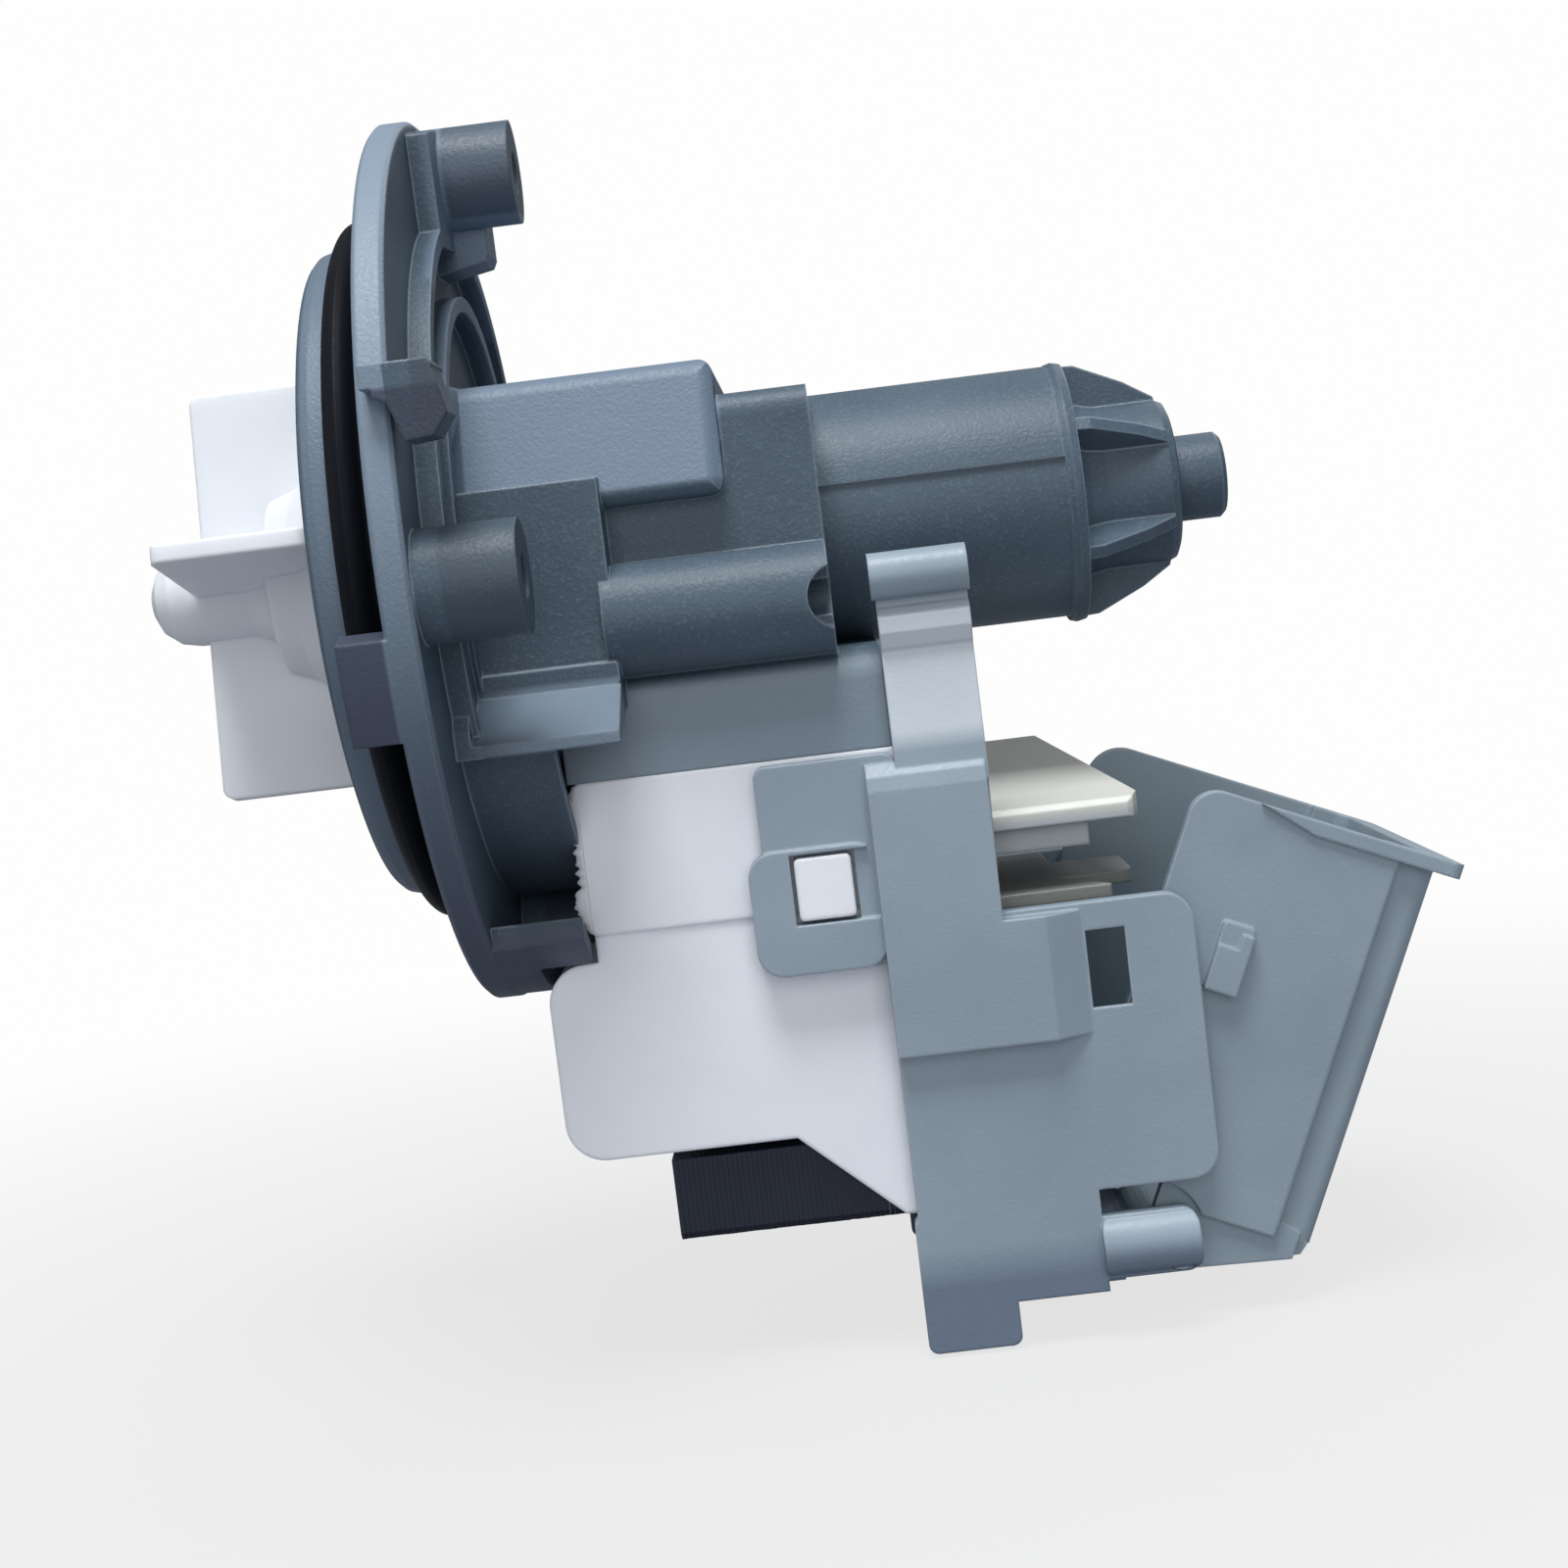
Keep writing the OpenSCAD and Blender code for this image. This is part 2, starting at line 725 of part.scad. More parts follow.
module terminal_cover()
    color("lightsteelblue") {
        both_sides()
            cover_plate();
        // Floor and cross wall between the side plates
        block([44, 61], [-cover_in - 0.5, cover_in + 0.5], [-79, -77.2]);
        block([44, 45.8], [-cover_in - 0.5, cover_in + 0.5], [-78, -71]);
    }

/* Lid */

// Plan view of the lid channel, its rear corners stepped back
module lid_plan(g)
    difference() {
        union() {
            soft_rect([lid_far - 9, lid_back - g], [-lid_half + 1.2 + g, lid_half - 1.2 - g], 1.6);
            soft_rect([lid_far - 9, lid_back - 4 - g], [-lid_half + g, lid_half - g], 0.5);
        }
        translate([lid_far - 20, -lid_half])
            square([20, 2 * lid_half]);
    }

// Side view of one side of the lid, its front corner rounded, its foot curved up to the front
module lid_side(front, r)
    difference() {
        union() {
            soft_rect([front, lid_back], [lid_foot, lid_top], r);
            translate([lid_back - 10, lid_foot])
                square([10, lid_top - lid_foot]);
        }
        translate([pivot_x - 3, -pivot_drop])
            circle(5.6);
    }

module closed_lid() {
    intersection() {
        translate([0, 0, lid_foot])
            linear_extrude(lid_top - lid_foot)
                difference() {
                    lid_plan(0);
                    lid_plan(lid_t);
                }
        // The near plate is shorter than the far one
        union() {
            slab_y(-lid_half, 0)
                lid_side(lid_near, 3);
            slab_y(-eps, lid_half)
                lid_side(lid_far, 4);
        }
    }
    // Lip along the top edge, fading out towards the front
    difference() {
        union() {
            translate([0, 0, lid_top - lip_t])
                linear_extrude(lip_t)
                    soft_rect([lid_back - 14, lid_back + lip_reach], [-lid_half - 0.5, lid_half + 0.5], 1.2);
            slab_y(-lid_half - 0.5, lid_half + 0.5)
                polygon([[lid_back - 19, lid_top - 0.01], [lid_back - 13, lid_top - lip_t],
                    [lid_back - 10, lid_top - lip_t], [lid_back - 10, lid_top - 0.01]]);
        }
        block([0, lid_back - lid_t], [-lid_half + lid_t, lid_half - lid_t], [lid_foot, 0]);
    }
    both_sides() {
        // Arms down to the pivot pins, set back from the side plates
        slab_y(-lid_half + arm_step, -lid_half + arm_step + lid_t)
            union() {
                translate([pivot_x, -pivot_drop])
                    circle(3.2, $fn = 48);
                polygon([[pivot_x - 3.2, -pivot_drop], [pivot_x + 0.6, -pivot_drop - 3],
                    [lid_back - 1.6, lid_foot - strip_t], [lid_back - 1.6, lid_foot + 1],
                    [pivot_x + 3, -pivot_drop + 7], [pivot_x - 3.2, -pivot_drop + 6.4]]);
            }
        translate([pivot_x, 0, -pivot_drop])
            rod_y(pin_r, -cover_in - cover_t - 0.1, -lid_half + lid_t);
        // Snap tab with an angled rib on it
        slab_y(-cover_in - 0.3, -lid_half)
            soft_rect([latch_x - latch_w / 2 + 0.3, latch_x + latch_w / 2 - 0.3],
                [latch_z - latch_h / 2 + 0.4, latch_z + latch_h / 2 - 0.4], 0.4);
        slab_y(-cover_in - 0.9, -lid_half)
            union() {
                translate([latch_x - latch_w / 2 + 0.3, latch_z - latch_h / 2 + 0.4])
                    square([latch_w - 0.6, 4.6]);
                translate([latch_x + latch_w / 2 - 1.5, latch_z - latch_h / 2 + 0.4])
                    square([1.2, latch_h - 1.6]);
            }
    }
    // Floor between the arms, from the back wall to the pivots
    slab_y(-lid_half + 1.4, lid_half - 1.4)
        polygon([[lid_back - 0.5, lid_foot], [lid_back - 0.8, lid_foot - strip_t + 0.6],
            [lid_back - 2, lid_foot - strip_t], [pivot_x + 1, -pivot_drop - 1.8],
            [pivot_x - 2, -pivot_drop - 0.6], [pivot_x - 2, -pivot_drop + 0.8],
            [lid_back - 3, lid_foot + 0.2], [lid_back - 0.5, lid_foot + 0.2]]);
}

module lid()
    color("lightslategray")
        translate([pivot_x, 0, -pivot_drop])
            rotate([0, lid_open, 0])
                translate([-pivot_x, 0, pivot_drop])
                    closed_lid();

/* Rotor */

module rotor_shaft()
    color("silver")
        turned([[0, -24], [shaft_r - 0.3, -24], [shaft_r, -23.7], [shaft_r, seat_end + 0.2],
            [shaft_r - 0.3, seat_end + 0.5], [0, seat_end + 0.5]]);

module magnet_carrier()
    color("whitesmoke")
        difference() {
            union() {
                rod_x(carrier_r, front_bush_x + bush_len + 1.3, can_end - 0.3);
                rod_x(magnet_r - 0.6, magnet_front - carrier_end_t, magnet_front);
                rod_x(magnet_r - 0.6, magnet_rear, magnet_rear + carrier_end_t);
            }
            rod_x(shaft_r, 0, 80);
        }

module rotor_magnet()
    color("gray")
        difference() {
            rod_x(magnet_r, magnet_front, magnet_rear);
            rod_x(carrier_r, magnet_front - 3.4, magnet_rear + 3);
        }

module thrust_washer(x)
    color("moccasin")
        difference() {
            rod_x(4.2, x, x + 0.7);
            rod_x(shaft_r, x - 1, x + 2);
        }

module drive_dog()
    color("gold")
        difference() {
            union() {
                rod_x(3.6, dog_front, dog_back);
                intersection() {
                    rod_x(7.8, dog_front, dog_back);
                    bar_x(dog_front, dog_back)
                        polygon([[0, 0], [-20 * tan(dog_half), 20], [20 * tan(dog_half), 20]]);
                }
            }
            rod_x(shaft_r, -30, 0);
        }

// The stop stands opposite the dog in the drawn position
module impeller()
    color("white")
        difference() {
            union() {
                difference() {
                    union() {
                        turned([[0, -32], [1.8, -31.8], [3.4, -31], [4.6, -29.4], [5, -27.4], [5, -21],
                            [6, -18.6], [9.4, -17.8], [10.4, -15], [12.4, -12], [14, -10.8], [14, hub_back],
                            [0, hub_back]]);
                        for (i = [0 : 3])
                            rotate([78 + 90 * i, 0, 0])
                                slab_y(-blade_t / 2, blade_t / 2)
                                    union() {
                                        soft_rect([-blade_front, -10.4], [3, impeller_r], 1.2);
                                        translate([-blade_front, 3])
                                            square([10, 3]);
                                    }
                    }
                    rod_x(8.2, -17, hub_back + 1);
                }
                intersection() {
                    difference() {
                        rod_x(8.6, -17.4, dog_back);
                        rod_x(4.1, -20, 0);
                    }
                    bar_x(-17.4, dog_back)
                        polygon([[0, 0], [-20 * tan(stop_half), -20], [20 * tan(stop_half), -20]]);
                }
            }
            rod_x(shaft_r + 0.06, -24.6, 0);
        }

module impeller_cap()
    color("snow")
        difference() {
            rod_x(8.2, cap_front, hub_back);
            rod_x(shaft_r + 0.6, -20, 0);
        }

pump_housing();
seal_ring();
bearing_plate();
shaft_seal();
bush(front_bush_x);  // front_bush
bush(rear_bush_x);  // rear_bush
bush_mount(front_bush_x);  // front_bush_mount
bush_mount(rear_bush_x);  // rear_bush_mount
stator_legs();
stator_yoke();
bobbin();  // near_bobbin
mirror([0, 1, 0]) bobbin();  // far_bobbin
winding();  // near_winding
mirror([0, 1, 0]) winding();  // far_winding
coil_cover();
thermal_cutout();
winding_leads();
terminal_block();
terminal_tabs();
terminal_cover();
rotor_shaft();
rotor_magnet();
magnet_carrier();
thrust_washer(front_bush_x + bush_len + 0.6);  // front_washer
thrust_washer(can_end - 0.3);  // rear_washer
drive_dog();
impeller();
impeller_cap();
lid();
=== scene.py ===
import math

import bmesh
import bpy
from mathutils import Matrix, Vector, noise


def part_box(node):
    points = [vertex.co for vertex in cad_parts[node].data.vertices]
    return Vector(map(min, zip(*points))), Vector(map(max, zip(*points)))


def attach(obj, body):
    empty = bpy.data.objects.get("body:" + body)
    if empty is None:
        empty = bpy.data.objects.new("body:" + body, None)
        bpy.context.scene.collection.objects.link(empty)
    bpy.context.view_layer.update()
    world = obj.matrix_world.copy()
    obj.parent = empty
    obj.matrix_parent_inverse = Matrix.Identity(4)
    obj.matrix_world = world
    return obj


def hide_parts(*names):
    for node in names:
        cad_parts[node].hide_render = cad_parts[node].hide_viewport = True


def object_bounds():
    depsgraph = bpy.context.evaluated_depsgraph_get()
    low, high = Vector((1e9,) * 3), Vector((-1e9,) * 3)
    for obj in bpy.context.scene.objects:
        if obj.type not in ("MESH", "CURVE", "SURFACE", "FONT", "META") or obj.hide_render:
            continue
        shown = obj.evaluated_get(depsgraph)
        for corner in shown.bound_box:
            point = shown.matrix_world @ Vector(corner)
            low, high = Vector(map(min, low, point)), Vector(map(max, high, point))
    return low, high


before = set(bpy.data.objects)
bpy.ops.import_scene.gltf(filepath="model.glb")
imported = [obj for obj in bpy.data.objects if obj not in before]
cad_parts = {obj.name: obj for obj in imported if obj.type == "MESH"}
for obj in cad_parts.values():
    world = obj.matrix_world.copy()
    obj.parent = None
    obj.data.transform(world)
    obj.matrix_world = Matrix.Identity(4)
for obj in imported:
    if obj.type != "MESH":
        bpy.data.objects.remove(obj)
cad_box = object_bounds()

scene = bpy.context.scene


# The studio. A pale floor below the pump and white air around it, lit by four soft lamps. The camera
# stands where the photograph was taken: close by, looking down a little and tilted to one side.

look_at = Vector((0.0325, 0.0, -0.0272))
camera_distance = 0.260
camera_azimuth = math.radians(1.3)
camera_elevation = math.radians(5.0)
camera_roll = math.radians(7.0)
camera_lens = 55.6

back = Vector((
    math.sin(camera_azimuth) * math.cos(camera_elevation),
    -math.cos(camera_azimuth) * math.cos(camera_elevation),
    math.sin(camera_elevation),
))
right = Vector((0, 0, 1)).cross(back).normalized()
up = back.cross(right)
rolled_right = right * math.cos(camera_roll) - up * math.sin(camera_roll)
rolled_up = right * math.sin(camera_roll) + up * math.cos(camera_roll)

camera_data = bpy.data.cameras.new("camera")
camera_data.lens = camera_lens
camera_data.sensor_width = 36
camera_data.clip_start = 0.01
camera = bpy.data.objects.new("camera", camera_data)
scene.collection.objects.link(camera)
turn = camera.matrix_world.to_3x3()
turn.col[0] = rolled_right
turn.col[1] = rolled_up
turn.col[2] = back
camera.matrix_world = turn.to_4x4()
camera.location = look_at + back * camera_distance
scene.camera = camera
scene.view_settings.view_transform = "Standard"


def lamp(name, place, size, watts):
    """A square soft lamp that points at the middle of the pump."""
    data = bpy.data.lights.new(name, "AREA")
    data.size = size
    data.energy = watts
    body = bpy.data.objects.new(name, data)
    scene.collection.objects.link(body)
    body.location = place
    aim = look_at - Vector(place)
    body.rotation_euler = aim.to_track_quat("-Z", "Y").to_euler()


lamp("key_lamp", place=(0.00, -0.34, 1.10), size=0.5, watts=16.0)
lamp("fill_lamp", place=(0.10, -1.05, 0.30), size=0.9, watts=4.8)
lamp("side_lamp", place=(-0.95, -0.10, 0.45), size=0.6, watts=1.2)
lamp("rim_lamp", place=(0.60, 0.80, 0.70), size=0.7, watts=2.4)

white_air = (0.99, 0.99, 0.985, 1)
room_tint = (0.90, 0.94, 1.0, 1)
room_strength = 0.20
world = bpy.data.worlds.new("pale_room")
scene.world = world
world.use_nodes = True
air = world.node_tree.nodes
air_links = world.node_tree.links
air.clear()
room_light = air.new("ShaderNodeBackground")
room_light.inputs["Color"].default_value = room_tint
room_light.inputs["Strength"].default_value = room_strength
seen_light = air.new("ShaderNodeBackground")
seen_light.inputs["Color"].default_value = white_air
ray = air.new("ShaderNodeLightPath")
choose = air.new("ShaderNodeMixShader")
sky = air.new("ShaderNodeOutputWorld")
air_links.new(ray.outputs["Is Camera Ray"], choose.inputs["Fac"])
air_links.new(room_light.outputs["Background"], choose.inputs[1])
air_links.new(seen_light.outputs["Background"], choose.inputs[2])
air_links.new(choose.outputs["Shader"], sky.inputs["Surface"])

floor_gap = 0.0005
floor_z = cad_box[0][2] - floor_gap
reach = 6.0
fade_start = 0.05
fade_end = 0.30
nearest_glow = 0.74
floor_mesh = bpy.data.meshes.new("floor")
floor_mesh.from_pydata(
    [(-reach, -reach, floor_z), (reach, -reach, floor_z), (reach, reach, floor_z), (-reach, reach, floor_z)],
    [], [(0, 1, 2, 3)],
)
floor = bpy.data.objects.new("floor", floor_mesh)
scene.collection.objects.link(floor)
floor_paint = bpy.data.materials.new("pale_floor")
floor_paint.use_nodes = True
floor_mesh.materials.append(floor_paint)


def floor_nodes(tree):
    """A matt floor that keeps the pump's shadow and, seen by the camera, fades into the white air."""
    nodes = tree.nodes
    links = tree.links
    matt = nodes["Principled BSDF"]
    matt.inputs["Base Color"].default_value = (0.24, 0.25, 0.28, 1)
    matt.inputs["Roughness"].default_value = 0.9
    glow = nodes.new("ShaderNodeEmission")
    glow.inputs["Color"].default_value = white_air
    place = nodes.new("ShaderNodeTexCoord")
    centre = nodes.new("ShaderNodeVectorMath")
    centre.operation = "DISTANCE"
    centre.inputs[1].default_value = (look_at.x, 0, 0)
    links.new(place.outputs["Object"], centre.inputs[0])
    far = nodes.new("ShaderNodeMapRange")
    far.interpolation_type = "SMOOTHSTEP"
    far.inputs["From Min"].default_value = fade_start
    far.inputs["From Max"].default_value = fade_end
    far.inputs["To Min"].default_value = nearest_glow
    links.new(centre.outputs["Value"], far.inputs["Value"])
    seen = nodes.new("ShaderNodeLightPath")
    share = nodes.new("ShaderNodeMath")
    share.operation = "MULTIPLY"
    links.new(far.outputs["Result"], share.inputs[0])
    links.new(seen.outputs["Is Camera Ray"], share.inputs[1])
    blend = nodes.new("ShaderNodeMixShader")
    links.new(share.outputs[0], blend.inputs["Fac"])
    links.new(matt.outputs["BSDF"], blend.inputs[1])
    links.new(glow.outputs["Emission"], blend.inputs[2])
    links.new(blend.outputs["Shader"], nodes["Material Output"].inputs["Surface"])


floor_nodes(floor_paint.node_tree)


# The pump housing. One grey moulding of glass filled plastic, with a fine spark-eroded grain, that
# carries flange, spigot, screw towers, bell, pole shroud, rotor can and ribbed bearing seat.

def group_socket(tree, name, way, kind, value=None):
    """Adds one named socket to a node group, with the value that it starts from."""
    socket = tree.interface.new_socket(name, in_out=way, socket_type=kind)
    if value is not None:
        socket.default_value = value
    return socket


def mould_grain_group():
    """Varying values of a moulded surface: slow drift, fine grain, pale flecks and their relief."""
    drift_height = 2.2
    tree = bpy.data.node_groups.new("mould_grain", "ShaderNodeTree")
    group_socket(tree, "Grain per metre", "INPUT", "NodeSocketFloat", 2600.0)
    group_socket(tree, "Drift per metre", "INPUT", "NodeSocketFloat", 60.0)
    group_socket(tree, "Drift", "OUTPUT", "NodeSocketFloat")
    group_socket(tree, "Grain", "OUTPUT", "NodeSocketFloat")
    group_socket(tree, "Fleck", "OUTPUT", "NodeSocketFloat")
    group_socket(tree, "Height", "OUTPUT", "NodeSocketFloat")
    nodes = tree.nodes
    links = tree.links
    enter = nodes.new("NodeGroupInput")
    leave = nodes.new("NodeGroupOutput")
    place = nodes.new("ShaderNodeTexCoord")
    drift = nodes.new("ShaderNodeTexNoise")
    drift.inputs["Detail"].default_value = 3.0
    grain = nodes.new("ShaderNodeTexNoise")
    grain.inputs["Detail"].default_value = 2.0
    grain.inputs["Roughness"].default_value = 0.6
    links.new(place.outputs["Object"], drift.inputs["Vector"])
    links.new(place.outputs["Object"], grain.inputs["Vector"])
    links.new(enter.outputs["Drift per metre"], drift.inputs["Scale"])
    links.new(enter.outputs["Grain per metre"], grain.inputs["Scale"])
    fleck = nodes.new("ShaderNodeMapRange")
    fleck.inputs["From Min"].default_value = 0.55
    fleck.inputs["From Max"].default_value = 0.72
    links.new(grain.outputs["Fac"], fleck.inputs["Value"])
    total = nodes.new("ShaderNodeMath")
    total.operation = "MULTIPLY_ADD"
    total.inputs[1].default_value = drift_height
    links.new(drift.outputs["Fac"], total.inputs[0])
    links.new(grain.outputs["Fac"], total.inputs[2])
    links.new(drift.outputs["Fac"], leave.inputs["Drift"])
    links.new(grain.outputs["Fac"], leave.inputs["Grain"])
    links.new(fleck.outputs["Result"], leave.inputs["Fleck"])
    links.new(total.outputs[0], leave.inputs["Height"])
    return tree


def round_edge_group():
    """Normal that turns softly over each edge, and a mask that rises there, for a painted highlight."""
    tree = bpy.data.node_groups.new("round_edge", "ShaderNodeTree")
    group_socket(tree, "Edge radius", "INPUT", "NodeSocketFloat", 0.0004)
    group_socket(tree, "Normal", "OUTPUT", "NodeSocketVector")
    group_socket(tree, "Edge", "OUTPUT", "NodeSocketFloat")
    nodes = tree.nodes
    links = tree.links
    enter = nodes.new("NodeGroupInput")
    leave = nodes.new("NodeGroupOutput")
    round_over = nodes.new("ShaderNodeBevel")
    round_over.samples = 6
    plain = nodes.new("ShaderNodeNewGeometry")
    compare = nodes.new("ShaderNodeVectorMath")
    compare.operation = "DOT_PRODUCT"
    spread = nodes.new("ShaderNodeMapRange")
    spread.inputs["From Min"].default_value = 0.985
    spread.inputs["From Max"].default_value = 0.80
    links.new(enter.outputs["Edge radius"], round_over.inputs["Radius"])
    links.new(round_over.outputs["Normal"], compare.inputs[0])
    links.new(plain.outputs["Normal"], compare.inputs[1])
    links.new(compare.outputs["Value"], spread.inputs["Value"])
    links.new(round_over.outputs["Normal"], leave.inputs["Normal"])
    links.new(spread.outputs["Result"], leave.inputs["Edge"])
    return tree


mould_grain = mould_grain_group()
round_edge = round_edge_group()


def mix_colour(tree, mask, low, high):
    """Mixes two colours or colour sockets by a mask and gives the socket of the result."""
    mixer = tree.nodes.new("ShaderNodeMix")
    mixer.data_type = "RGBA"
    if mask is not None:
        tree.links.new(mask, mixer.inputs["Factor"])
    for side, value in (("A", low), ("B", high)):
        socket = [s for s in mixer.inputs if s.name == side and s.type == "RGBA"][0]
        if isinstance(value, bpy.types.NodeSocket):
            tree.links.new(value, socket)
        else:
            socket.default_value = (*value, 1)
    return [s for s in mixer.outputs if s.type == "RGBA"][0]


def spread_value(tree, source, low_in, high_in, low_out, high_out):
    """Spreads a value from one range to another and gives the socket of the result."""
    spread = tree.nodes.new("ShaderNodeMapRange")
    spread.inputs["From Min"].default_value = low_in
    spread.inputs["From Max"].default_value = high_in
    spread.inputs["To Min"].default_value = low_out
    spread.inputs["To Max"].default_value = high_out
    tree.links.new(source, spread.inputs["Value"])
    return spread.outputs["Result"]


def moulded_plastic(name, dark, light, edge, roughness, grain=2600.0, drift=60.0, bump=0.12, milk=0.0,
                    fleck=0.0, radius=0.0004, shine=0.5):
    """A moulded plastic: tone that drifts from dark to light, flecks, a painted highlight on the round edges,
    fine grain.
    """
    painted_highlight_share = 0.55
    relief_depth = 0.0002
    milk_depth = 0.002
    milk_tint = (1.0, 0.96, 0.92)
    paint = bpy.data.materials.new(name)
    paint.use_nodes = True
    tree = paint.node_tree
    shader = tree.nodes["Principled BSDF"]
    surface = tree.nodes.new("ShaderNodeGroup")
    surface.node_tree = mould_grain
    surface.inputs["Grain per metre"].default_value = grain
    surface.inputs["Drift per metre"].default_value = drift
    rim = tree.nodes.new("ShaderNodeGroup")
    rim.node_tree = round_edge
    rim.inputs["Edge radius"].default_value = radius
    tone = spread_value(tree, surface.outputs["Drift"], 0.35, 0.65, 0.0, 1.0)
    body = mix_colour(tree, tone, dark, light)
    if fleck:
        fleck_share = spread_value(tree, surface.outputs["Fleck"], 0.0, 1.0, 0.0, fleck)
        body = mix_colour(tree, fleck_share, body, edge)
    # Painted highlight: the edge colour, which also gives the pale flecks, is laid along the round edges
    # where the edge mask rises
    painted_highlight_mask = spread_value(tree, rim.outputs["Edge"], 0.0, 1.0, 0.0, painted_highlight_share)
    final = mix_colour(tree, painted_highlight_mask, body, edge)
    tree.links.new(final, shader.inputs["Base Color"])
    rough = spread_value(tree, surface.outputs["Grain"], 0.3, 0.7, roughness - 0.06, roughness + 0.08)
    tree.links.new(rough, shader.inputs["Roughness"])
    relief = tree.nodes.new("ShaderNodeBump")
    relief.inputs["Strength"].default_value = bump
    relief.inputs["Distance"].default_value = relief_depth
    tree.links.new(surface.outputs["Height"], relief.inputs["Height"])
    tree.links.new(rim.outputs["Normal"], relief.inputs["Normal"])
    tree.links.new(relief.outputs["Normal"], shader.inputs["Normal"])
    shader.inputs["Specular IOR Level"].default_value = shine
    if milk:
        shader.inputs["Subsurface Weight"].default_value = milk
        shader.inputs["Subsurface Scale"].default_value = milk_depth
        shader.inputs["Subsurface Radius"].default_value = milk_tint
    return paint


def dress(paint, *nodes):
    """Gives one paint to solids of the frame, which stay as they are."""
    for node in nodes:
        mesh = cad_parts[node].data
        mesh.materials.clear()
        mesh.materials.append(paint)


housing_plastic = moulded_plastic(
    "housing_plastic", dark=(0.054, 0.083, 0.115), light=(0.066, 0.100, 0.136), edge=(0.42, 0.52, 0.61),
    roughness=0.47, bump=0.35, fleck=0.10, shine=0.33,
)


def past(axis, start, soft):
    """A limit that begins at start and holds fully one soft width further on."""
    return axis, start, start + soft


def short_of(axis, start, soft):
    """A limit that begins at start and holds fully one soft width before it."""
    return axis, start, start - soft


def shade_part(paint, shade, limits, most=1.0):
    """Another shade on a part of one moulding, where all its limits hold: along X, along Y on both
    sides of the middle plane, along Z, or along R, the distance from the rotor axis."""
    tree = paint.node_tree
    shader = tree.nodes["Principled BSDF"]
    below = shader.inputs["Base Color"].links[0].from_socket
    place = tree.nodes.new("ShaderNodeTexCoord")
    axes = tree.nodes.new("ShaderNodeSeparateXYZ")
    tree.links.new(place.outputs["Object"], axes.inputs["Vector"])
    width = tree.nodes.new("ShaderNodeMath")
    width.operation = "ABSOLUTE"
    tree.links.new(axes.outputs["Y"], width.inputs[0])
    across = tree.nodes.new("ShaderNodeVectorMath")
    across.operation = "MULTIPLY"
    across.inputs[1].default_value = (0, 1, 1)
    tree.links.new(place.outputs["Object"], across.inputs[0])
    radius = tree.nodes.new("ShaderNodeVectorMath")
    radius.operation = "LENGTH"
    tree.links.new(across.outputs["Vector"], radius.inputs[0])
    sources = {
        "X": axes.outputs["X"], "Y": width.outputs[0], "Z": axes.outputs["Z"], "R": radius.outputs["Value"],
    }
    share = None
    for axis, start, end in limits:
        step = spread_value(tree, sources[axis], start, end, 0.0, most if share is None else 1.0)
        if share is None:
            share = step
            continue
        both = tree.nodes.new("ShaderNodeMath")
        both.operation = "MULTIPLY"
        tree.links.new(share, both.inputs[0])
        tree.links.new(step, both.inputs[1])
        share = both.outputs[0]
    tree.links.new(mix_colour(tree, share, below, shade), shader.inputs["Base Color"])


# The skirt over the coils is paler
shade_part(housing_plastic, (0.20, 0.255, 0.305), (
    past("X", 0.0114, soft=0.0003), short_of("Z", -0.0136, soft=0.0010),
    past("Z", -0.0236, soft=0.0005), short_of("Y", 0.0208, soft=0.0003),
))
# Painted highlight: the drafted sides of the box are painted paler, as their slope faces up into the light
shade_part(housing_plastic, (0.135, 0.185, 0.250), (
    past("X", 0.0040, soft=0.0016), short_of("X", 0.0312, soft=0.0003),
    past("Z", 0.0046, soft=0.0010), short_of("Y", 0.0224, soft=0.0002),
))
# Painted shade: the towers behind the flange are painted darker, for the shade down their sides
shade_part(housing_plastic, (0.046, 0.066, 0.090), (
    past("X", 0.0054, soft=0.0004), past("R", 0.0356, soft=0.0004),
), most=0.75)
# Painted highlight: the sloping shelf, the rim of the flange and the rim of the spigot are painted paler
# where the light falls on them, the flange rim most towards the top
shade_part(housing_plastic, (0.155, 0.205, 0.26), (
    past("X", 0.0040, soft=0.0055), short_of("X", 0.0300, soft=0.0010), short_of("Z", -0.0125, soft=0.0005),
    past("Z", -0.0190, soft=0.0003), past("Y", 0.0244, soft=0.0003),
), most=0.9)
shade_part(housing_plastic, (0.20, 0.26, 0.33), (
    short_of("X", 0.0033, soft=0.0002), past("R", 0.0451, soft=0.0003), past("Z", -0.030, soft=0.040),
), most=0.9)
shade_part(housing_plastic, (0.120, 0.165, 0.220), (
    short_of("X", -0.0050, soft=0.0004), past("R", 0.0334, soft=0.0004),
), most=0.8)
# Painted shade: low on the flange the rim is painted a deeper blue, darker towards the bottom, where less
# light reaches
shade_part(housing_plastic, (0.058, 0.066, 0.108), (
    short_of("Z", -0.008, soft=0.028), past("R", 0.0445, soft=0.0007),
), most=0.75)
# Painted shade: the bayonet tabs in front of the flange, and the wedge of the hook lug below its ledge, are
# painted dark for the shade on their faces
shade_part(housing_plastic, (0.044, 0.053, 0.084), (
    short_of("X", 0.0, soft=0.0003), past("R", 0.0424, soft=0.0003),
), most=0.85)
shade_part(housing_plastic, (0.030, 0.040, 0.066), (
    past("Y", 0.0456, soft=0.0003), short_of("Z", 0.0156, soft=0.0005), past("Z", 0.0095, soft=0.0003),
), most=0.85)


